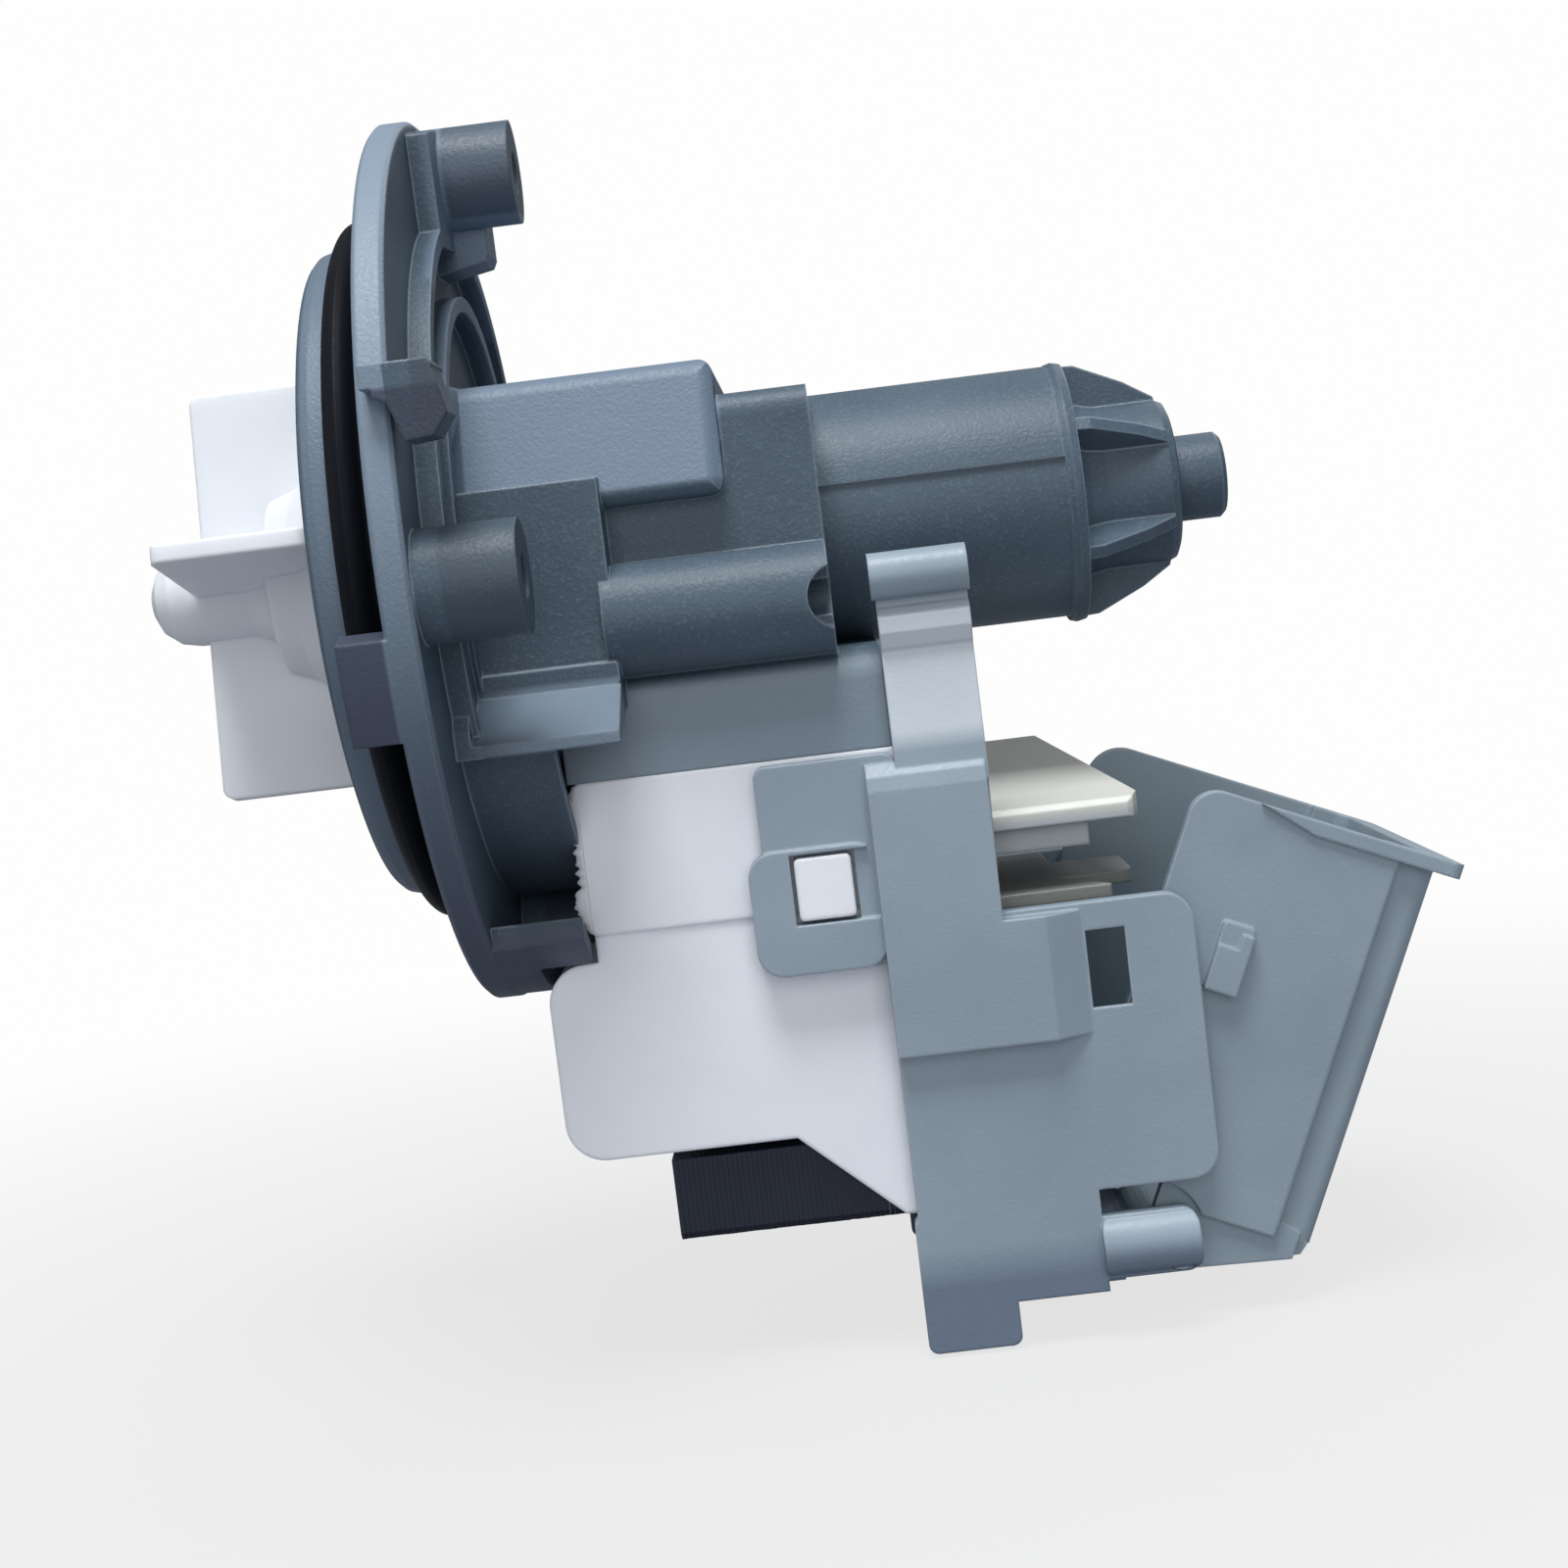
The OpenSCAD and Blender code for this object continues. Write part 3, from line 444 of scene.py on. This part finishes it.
def draft_box_sides(work):
    """Leans the sides of the box inwards from their foot up, by about 20 degrees."""
    box_start, box_end = 0.0056, 0.031
    box_foot, box_top, roof = 0.0052, 0.01725, 0.0172
    side_in, side_out, roof_half = 0.0199, 0.02205, 0.0204
    draft = 0.36
    hair = 1e-5
    cut = bmesh.ops.bisect_plane(
        work, geom=work.verts[:] + work.edges[:] + work.faces[:], dist=1e-7,
        plane_co=(box_start, 0, 0), plane_no=(1, 0, 0),
    )
    cut_edges = [part for part in cut["geom_cut"] if isinstance(part, bmesh.types.BMEdge)]
    bmesh.ops.split_edges(work, edges=cut_edges)
    roof_side = roof_half - draft * (roof - box_foot)
    for vert in work.verts:
        x, y, z = vert.co
        side = abs(y)
        if abs(x - box_start) < hair and abs(z - roof) < hair:
            vert.co.y = math.copysign(min(side, roof_side), y)
            continue
        if box_start - hair < x < box_end and side_in < side < side_out and box_foot < z < box_top:
            vert.co.y = math.copysign(side - draft * (z - box_foot), y)


def round_shroud_edges(work):
    """Widens the rounding of the pole shroud's upper edges."""
    shroud_start, shroud_end = 0.0305, 0.0400
    shroud_half, shroud_top = 0.0190, 0.0135
    rounding, growth = 0.0010, 2.4
    corner_y = shroud_half - rounding
    corner_z = shroud_top - rounding
    inner_hair, outer_hair = 1e-5, 5e-5
    for vert in work.verts:
        x, y, z = vert.co
        side = abs(y)
        in_y = corner_y - inner_hair <= side < shroud_half + outer_hair
        in_z = corner_z - inner_hair <= z < shroud_top + outer_hair
        if shroud_start < x < shroud_end and in_y and in_z:
            vert.co.y = math.copysign(shroud_half - growth * (shroud_half - side), y)
            vert.co.z = shroud_top - growth * (shroud_top - z)


def thicken_groove_wall(work):
    """Makes the front wall of the seal's groove thicker than in the plain solid."""
    wall_x, thicker_x = -0.0061, -0.0054
    wall_in, wall_out = 0.0325, 0.0342
    hair = 2e-5
    for vert in work.verts:
        x, y, z = vert.co
        if abs(x - wall_x) < hair and wall_in < math.hypot(y, z) < wall_out:
            vert.co.x = thicker_x


def trim_ring_wall(work):
    """Ends the tall wall behind the flange flush with the sloping shelf, along its own circle."""
    wall_in, wall_out = 0.0337, 0.0355
    wall_start, shelf_start, wall_end = 0.0025, 0.00526, 0.01205
    wall_foot = -0.01545
    shelf_drop, shelf_slope = 0.0009, 0.5
    hair = 4e-5
    wall = [
        face for face in work.faces
        if all(
            wall_in < math.hypot(v.co.y, v.co.z) < wall_out and wall_start < v.co.x < wall_end
            for v in face.verts
        )
    ]
    around = list(dict.fromkeys(part for face in wall for part in (*face.verts, *face.edges)))
    bmesh.ops.bisect_plane(
        work, geom=wall + around, dist=1e-7, plane_co=(shelf_start, 0, 0), plane_no=(1, 0, 0),
    )
    for vert in work.verts:
        x, y, z = vert.co
        radius = math.hypot(y, z)
        shelf = -shelf_drop - shelf_slope * abs(y)
        in_wall = shelf_start - hair < x < wall_end and wall_in < radius < wall_out
        if in_wall and shelf + 1e-6 < z < wall_foot:
            # Where the circle of this radius meets the plane of the shelf
            square = 1 + shelf_slope**2
            linear = shelf_slope * shelf_drop
            root = math.sqrt(linear**2 + square * (radius**2 - shelf_drop**2))
            side = (root - linear) / square
            vert.co.y = math.copysign(side, y)
            vert.co.z = -shelf_drop - shelf_slope * side


def finished_mesh(work, name):
    """Keeps a work mesh as a mesh of that name."""
    mesh = bpy.data.meshes.new(name)
    work.to_mesh(mesh)
    work.free()
    return mesh


def housing_skin_mesh(source):
    """The housing with its drafted box, its soft shroud edges and its two trimmed walls."""
    work = bmesh.new()
    work.from_mesh(source)
    draft_box_sides(work)
    round_shroud_edges(work)
    thicken_groove_wall(work)
    trim_ring_wall(work)
    for face in work.faces:
        face.smooth = True
    return finished_mesh(work, "pump_housing_skin")


def new_piece(name, mesh, paint, body):
    """A piece that rides on a body of the frame. Without a paint it keeps its own."""
    if paint is not None:
        mesh.materials.clear()
        mesh.materials.append(paint)
    piece = bpy.data.objects.new(name, mesh)
    scene.collection.objects.link(piece)
    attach(piece, body)
    return piece


housing_skin = new_piece(
    "pump_housing_skin", housing_skin_mesh(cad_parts["pump_housing"].data), housing_plastic,
    "housing",
)
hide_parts("pump_housing")
dress(housing_plastic, "bearing_plate")


# The seal ring and the rubber parts. Black moulded rubber, pressed into the groove behind the
# spigot and around the bearing bushes.

seal_rubber = moulded_plastic(
    "seal_rubber", dark=(0.004, 0.005, 0.008), light=(0.006, 0.0075, 0.011), edge=(0.012, 0.014, 0.019),
    roughness=0.50, bump=0.05, radius=0.0001, shine=0.09,
)


def bridge_rows(work, rows, closed=False):
    """Faces from each row of points to the next. A run that isn't closed gets a cap at each end."""
    for i in range(len(rows) if closed else len(rows) - 1):
        row = rows[i]
        after = rows[(i + 1) % len(rows)]
        for j in range(len(row)):
            k = (j + 1) % len(row)
            work.faces.new((row[j], row[k], after[k], after[j]))
    if not closed:
        work.faces.new(rows[0])
        work.faces.new(list(reversed(rows[-1])))
    bmesh.ops.recalc_face_normals(work, faces=work.faces)


def seal_ring_mesh(low, high):
    """An oval ring about the rotor axis, with the thin bead of its mould line on the outside."""
    around, across = 180, 72
    half_along = 0.0016
    flange_gap = 0.00005
    bead_height, bead_spread = 0.00007, 0.11
    half = (high[0] - low[0]) / 2
    middle = high[0] - half_along - flange_gap
    ring_radius = high[1] - half
    work = bmesh.new()
    rows = []
    for i in range(around):
        turn_round = 2 * math.pi * i / around
        row = []
        for j in range(across):
            slant = 2 * math.pi * j / across - math.pi
            bead = bead_height * math.exp(-((slant / bead_spread) ** 2))
            out = ring_radius + math.cos(slant) * (half + bead)
            along = middle + math.sin(slant) * half_along
            row.append(work.verts.new((along, math.sin(turn_round) * out, math.cos(turn_round) * out)))
        rows.append(row)
    bridge_rows(work, rows, closed=True)
    for face in work.faces:
        face.smooth = True
    return finished_mesh(work, "seal_ring_skin")


seal_skin = new_piece(
    "seal_ring_skin", seal_ring_mesh(*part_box("seal_ring")), seal_rubber, "housing",
)
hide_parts("seal_ring")
dress(seal_rubber, "shaft_seal", "front_bush_mount", "rear_bush_mount")


# The coil cover. A white overmoulding of the two coils, smooth and slightly milky, that fits
# around the stator legs and holds the catches of the connector cover.

coil_white = moulded_plastic(
    "coil_white", dark=(0.75, 0.785, 0.85), light=(0.80, 0.83, 0.895), edge=(0.87, 0.90, 0.94),
    roughness=0.36, bump=0.06, milk=0.12, radius=0.0006,
)
dress(coil_white, "coil_cover")

panel_front = 0.012
panel_half = 0.0204
panel_foot = -0.0380
panel_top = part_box("coil_cover")[1][2] - 0.0002


def ragged_flash_mesh(name, side, seed):
    """A paper thin lip of plastic that crept out of the mould along the front edge of the panel."""
    steps = 90
    waves_per_metre, tears_per_metre = 420, 1900
    mean_creep, wave_creep, tear_creep, least_creep = 0.0007, 0.0008, 0.0006, 0.0001
    fade, end_creep = 8, 0.02
    root = panel_front + 0.0004
    root_out, tip_out = panel_half + 0.00002, panel_half - 0.00003
    tip_in, root_in = panel_half - 0.0001, panel_half - 0.00025
    work = bmesh.new()
    rows = []
    for k in range(steps + 1):
        z = panel_foot + (panel_top - panel_foot) * k / steps
        wave = noise.noise(Vector((z * waves_per_metre, seed, 0.3)))
        tear = noise.noise(Vector((z * tears_per_metre, seed, 4.1)))
        creep = max(least_creep, mean_creep + wave_creep * wave + tear_creep * tear)
        creep *= min(1.0, fade * k / steps, fade * (steps - k) / steps) + end_creep
        tip = panel_front - creep
        section = ((root, root_out), (tip, tip_out), (tip, tip_in), (root, root_in))
        rows.append([work.verts.new((x, side * y, z)) for x, y in section])
    bridge_rows(work, rows)
    return finished_mesh(work, name)


for side, name, seed in ((-1, "near_flash", 2.7), (1, "far_flash", 9.2)):
    new_piece(name, ragged_flash_mesh(name, side, seed), coil_white, "housing")


# The stator. Legs and yoke are stacks of varnished steel sheets, and the coils are enamelled
# copper on plastic bobbins. Only the yoke shows, under the coil cover.

def stacked_sheets(name, dark, light):
    """Varnished sheet steel, whose tone and relief repeat with each sheet along X."""
    # At this scale the wave has one band for each half millimetre
    band_scale = 628.0
    paint = bpy.data.materials.new(name)
    paint.use_nodes = True
    tree = paint.node_tree
    shader = tree.nodes["Principled BSDF"]
    place = tree.nodes.new("ShaderNodeTexCoord")
    sheets = tree.nodes.new("ShaderNodeTexWave")
    sheets.bands_direction = "X"
    sheets.inputs["Scale"].default_value = band_scale
    sheets.inputs["Distortion"].default_value = 0.4
    tree.links.new(place.outputs["Object"], sheets.inputs["Vector"])
    tree.links.new(mix_colour(tree, sheets.outputs["Fac"], dark, light), shader.inputs["Base Color"])
    shader.inputs["Metallic"].default_value = 0.35
    shader.inputs["Roughness"].default_value = 0.45
    relief = tree.nodes.new("ShaderNodeBump")
    relief.inputs["Strength"].default_value = 0.3
    relief.inputs["Distance"].default_value = 0.0001
    tree.links.new(sheets.outputs["Fac"], relief.inputs["Height"])
    tree.links.new(relief.outputs["Normal"], shader.inputs["Normal"])
    return paint


lamination_steel = stacked_sheets("lamination_steel", dark=(0.014, 0.019, 0.034), light=(0.022, 0.028, 0.048))
dress(lamination_steel, "stator_legs")
sheet_steel = stacked_sheets("sheet_steel", dark=(0.009, 0.013, 0.028), light=(0.014, 0.020, 0.038))


def sheet_stack_tree():
    """Stacks thick copies of one blanked sheet along X, each a hair out of line with the next."""
    tree = bpy.data.node_groups.new("sheet_stack", "GeometryNodeTree")
    group_socket(tree, "Sheet", "INPUT", "NodeSocketGeometry")
    group_socket(tree, "Sheet count", "INPUT", "NodeSocketInt", 50)
    group_socket(tree, "Pitch", "INPUT", "NodeSocketFloat", 0.0005)
    group_socket(tree, "Sheet thickness", "INPUT", "NodeSocketFloat", 0.00048)
    group_socket(tree, "Unevenness", "INPUT", "NodeSocketFloat", 0.00003)
    group_socket(tree, "Seed", "INPUT", "NodeSocketInt", 3)
    group_socket(tree, "Paint", "INPUT", "NodeSocketMaterial")
    group_socket(tree, "Stack", "OUTPUT", "NodeSocketGeometry")
    nodes = tree.nodes
    links = tree.links
    enter = nodes.new("NodeGroupInput")
    leave = nodes.new("NodeGroupOutput")
    thicken = nodes.new("GeometryNodeExtrudeMesh")
    thicken.mode = "FACES"
    thicken.inputs["Individual"].default_value = False
    thicken.inputs["Offset"].default_value = (1, 0, 0)
    links.new(enter.outputs["Sheet"], thicken.inputs["Mesh"])
    links.new(enter.outputs["Sheet thickness"], thicken.inputs["Offset Scale"])
    turn_over = nodes.new("GeometryNodeFlipFaces")
    links.new(enter.outputs["Sheet"], turn_over.inputs["Mesh"])
    both = nodes.new("GeometryNodeJoinGeometry")
    links.new(thicken.outputs["Mesh"], both.inputs["Geometry"])
    links.new(turn_over.outputs["Mesh"], both.inputs["Geometry"])
    weld = nodes.new("GeometryNodeMergeByDistance")
    weld.inputs["Distance"].default_value = 0.000001
    links.new(both.outputs["Geometry"], weld.inputs["Geometry"])
    step = nodes.new("ShaderNodeCombineXYZ")
    links.new(enter.outputs["Pitch"], step.inputs["X"])
    row = nodes.new("GeometryNodeMeshLine")
    links.new(enter.outputs["Sheet count"], row.inputs["Count"])
    links.new(step.outputs["Vector"], row.inputs["Offset"])
    drift = nodes.new("FunctionNodeRandomValue")
    drift.data_type = "FLOAT_VECTOR"
    drift.inputs["Min"].default_value = (0, -1, -1)
    drift.inputs["Max"].default_value = (0, 1, 1)
    links.new(enter.outputs["Seed"], drift.inputs["Seed"])
    hair = nodes.new("ShaderNodeVectorMath")
    hair.operation = "SCALE"
    links.new(drift.outputs["Value"], hair.inputs[0])
    links.new(enter.outputs["Unevenness"], hair.inputs["Scale"])
    shift = nodes.new("GeometryNodeSetPosition")
    links.new(row.outputs["Mesh"], shift.inputs["Geometry"])
    links.new(hair.outputs["Vector"], shift.inputs["Offset"])
    stack = nodes.new("GeometryNodeInstanceOnPoints")
    links.new(shift.outputs["Geometry"], stack.inputs["Points"])
    links.new(weld.outputs["Geometry"], stack.inputs["Instance"])
    real = nodes.new("GeometryNodeRealizeInstances")
    links.new(stack.outputs["Instances"], real.inputs["Geometry"])
    coat = nodes.new("GeometryNodeSetMaterial")
    links.new(real.outputs["Geometry"], coat.inputs["Geometry"])
    links.new(enter.outputs["Paint"], coat.inputs["Material"])
    links.new(coat.outputs["Geometry"], leave.inputs["Stack"])
    return tree


def grown_mesh(name, base, tree, values):
    """Runs a geometry tree on a mesh and keeps the result as a plain mesh."""
    carrier = bpy.data.objects.new(name + "_carrier", base)
    scene.collection.objects.link(carrier)
    growth = carrier.modifiers.new("growth", "NODES")
    growth.node_group = tree
    for item in tree.interface.items_tree:
        if item.item_type == "SOCKET" and item.in_out == "INPUT" and item.name in values:
            growth[item.identifier] = values[item.name]
    graph = bpy.context.evaluated_depsgraph_get()
    result = bpy.data.meshes.new_from_object(carrier.evaluated_get(graph), depsgraph=graph)
    result.name = name
    bpy.data.objects.remove(carrier)
    return result


def yoke_sheet_mesh(low, high):
    """One blanked sheet of the yoke: a bar with a slot for each leg and broken lower corners."""
    slot_in, slot_out, slot_foot = 0.0063, 0.0136, -0.0665
    chamfer = 0.0008
    half = [
        (0, low[2]), (high[1] - chamfer, low[2]), (high[1], low[2] + chamfer), (high[1], high[2]),
        (slot_out, high[2]), (slot_out, slot_foot), (slot_in, slot_foot), (slot_in, high[2]),
    ]
    outline = half + [(-y, z) for y, z in reversed(half[1:])]
    work = bmesh.new()
    face = work.faces.new([work.verts.new((low[0], y, z)) for y, z in outline])
    face.normal_update()
    if face.normal.x < 0:
        face.normal_flip()
    return finished_mesh(work, "yoke_sheet")


yoke_low, yoke_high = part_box("stator_yoke")
sheet_count = 50
steel_share = 0.985
pitch = (yoke_high[0] - yoke_low[0]) / sheet_count
yoke_mesh = grown_mesh("yoke_sheets", yoke_sheet_mesh(yoke_low, yoke_high), sheet_stack_tree(), {
    "Sheet count": sheet_count, "Pitch": pitch, "Sheet thickness": pitch * steel_share,
    "Unevenness": 0.00002, "Seed": 3, "Paint": sheet_steel,
})
yoke_stack = new_piece("yoke_sheets", yoke_mesh, None, "housing")
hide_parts("stator_yoke")
bobbin_plastic = moulded_plastic(
    "bobbin_plastic", dark=(0.55, 0.53, 0.45), light=(0.62, 0.6, 0.52), edge=(0.7, 0.68, 0.6), roughness=0.45,
)
dress(bobbin_plastic, "near_bobbin", "far_bobbin")
copper = moulded_plastic(
    "winding_copper", dark=(0.42, 0.16, 0.07), light=(0.55, 0.22, 0.1), edge=(0.6, 0.3, 0.15), roughness=0.3,
)
dress(copper, "near_winding", "far_winding", "winding_leads")
cutout_enamel = moulded_plastic(
    "cutout_enamel", dark=(0.35, 0.05, 0.04), light=(0.42, 0.07, 0.05), edge=(0.5, 0.2, 0.2), roughness=0.35,
)
dress(cutout_enamel, "thermal_cutout")


# The terminal block. A beige moulding behind the connector mouth with a roof plate over the two
# tinned tabs that the plug slides onto.

block_beige = moulded_plastic(
    "block_beige", dark=(0.53, 0.545, 0.51), light=(0.59, 0.60, 0.56), edge=(0.68, 0.69, 0.65), roughness=0.4,
)
# Painted shade: below the roof plate the block is painted blue-grey, and its lower tongues a dark olive, for
# the shadow of the roof
shade_part(block_beige, (0.34, 0.385, 0.41), (short_of("Z", -0.0318, soft=0.0008),), most=0.85)
shade_part(block_beige, (0.145, 0.150, 0.135), (short_of("Z", -0.0352, soft=0.0012),), most=0.85)
dress(block_beige, "terminal_block")


def bare_metal(name, dark, light, edge, roughness, metallic=1.0):
    """A metal with the faint grain and soft edges that the mouldings have."""
    paint = moulded_plastic(name, dark, light, edge, roughness)
    paint.node_tree.nodes["Principled BSDF"].inputs["Metallic"].default_value = metallic
    return paint


tab_tin = bare_metal(
    "tab_tin", dark=(0.5, 0.5, 0.48), light=(0.6, 0.6, 0.58), edge=(0.8, 0.8, 0.8), roughness=0.3,
)
dress(tab_tin, "terminal_tabs")


# The connector cover. A light blue-grey moulding clipped over the rear end of the coils, with a
# strap and hook in front of the rotor can, a snap arm, a latch window and the ears of the lid.

cover_plastic = moulded_plastic(
    "cover_plastic", dark=(0.235, 0.298, 0.355), light=(0.265, 0.333, 0.393), edge=(0.54, 0.61, 0.67),
    roughness=0.42, bump=0.15, fleck=0.04, shine=0.4,
)
# Painted highlight: the thin sloping straps face up into the light and are painted paler
shade_part(cover_plastic, (0.57, 0.63, 0.685), (
    past("Z", -0.0235, soft=0.0020), short_of("Z", -0.0085, soft=0.0020),
), most=0.9)
# The feet bend back below and lie in their own shade
shade_part(cover_plastic, (0.10, 0.135, 0.20), (short_of("Z", -0.0735, soft=0.0040),), most=0.8)
dress(cover_plastic, "terminal_cover")


def sill_mesh(half_width):
    """The rear sill of the cover's floor, curled up about the pivot, around the nose of the lid's web."""
    pivot_x, pivot_z = 0.0667, -0.0762
    inner_radius, outer_radius = 0.00273, 0.00353
    curl_start, curl_end, curl_steps = math.radians(178), math.radians(120.7), 4
    floor_start, floor_top, floor_bottom = 0.0608, -0.0773, -0.0789

    def curl(radius):
        angles = [curl_start + (curl_end - curl_start) * k / curl_steps for k in range(curl_steps + 1)]
        return [(pivot_x + radius * math.cos(a), pivot_z + radius * math.sin(a)) for a in angles]

    outline = [(0.0634, floor_bottom), (0.06375, -0.0774)]
    outline += curl(inner_radius)
    outline += reversed(curl(outer_radius))
    outline += [(0.0630, -0.0767), (0.0624, -0.0772), (floor_start, floor_top), (floor_start, floor_bottom)]
    work = bmesh.new()
    ends = [[work.verts.new((x, side * half_width, z)) for x, z in outline] for side in (-1, 1)]
    bridge_rows(work, ends)
    return finished_mesh(work, "cover_sill")


new_piece("cover_sill", sill_mesh(0.0170), cover_plastic, "housing")


# The lid. A channel shaped cap of the same plastic in a slightly darker lot, on two pins, with a
# snap tab on each side plate.

lid_plastic = moulded_plastic(
    "lid_plastic", dark=(0.215, 0.275, 0.328), light=(0.25, 0.318, 0.372), edge=(0.48, 0.55, 0.61),
    roughness=0.44, bump=0.15, fleck=0.04, shine=0.4,
)
dress(lid_plastic, "lid")


# The rotor. A ferrite magnet on a plastic carrier and a ground steel shaft, sealed in the can. It
# turns in two bronze bushes, and the dog at its front end drives the impeller.

shaft_steel = bare_metal(
    "shaft_steel", dark=(0.42, 0.42, 0.42), light=(0.5, 0.5, 0.5), edge=(0.7, 0.7, 0.7), roughness=0.25,
)
dress(shaft_steel, "rotor_shaft")
ferrite = moulded_plastic(
    "magnet_ferrite", dark=(0.03, 0.03, 0.033), light=(0.045, 0.045, 0.05), edge=(0.08, 0.08, 0.08),
    roughness=0.5,
)
dress(ferrite, "rotor_magnet")
dress(bobbin_plastic, "magnet_carrier", "front_washer", "rear_washer", "drive_dog")
bronze = bare_metal(
    "bush_bronze", dark=(0.3, 0.18, 0.09), light=(0.36, 0.22, 0.11), edge=(0.5, 0.34, 0.2), roughness=0.45,
    metallic=0.8,
)
dress(bronze, "front_bush", "rear_bush")


# The impeller. A white moulding with four straight blades and a flared hub, which swings freely on
# the shaft between two stops before the dog takes it along.

impeller_white = moulded_plastic(
    "impeller_white", dark=(0.66, 0.69, 0.735), light=(0.70, 0.73, 0.775), edge=(0.78, 0.805, 0.84),
    roughness=0.42, bump=0.06, milk=0.6, radius=0.0005,
)
dress(impeller_white, "impeller", "impeller_cap")
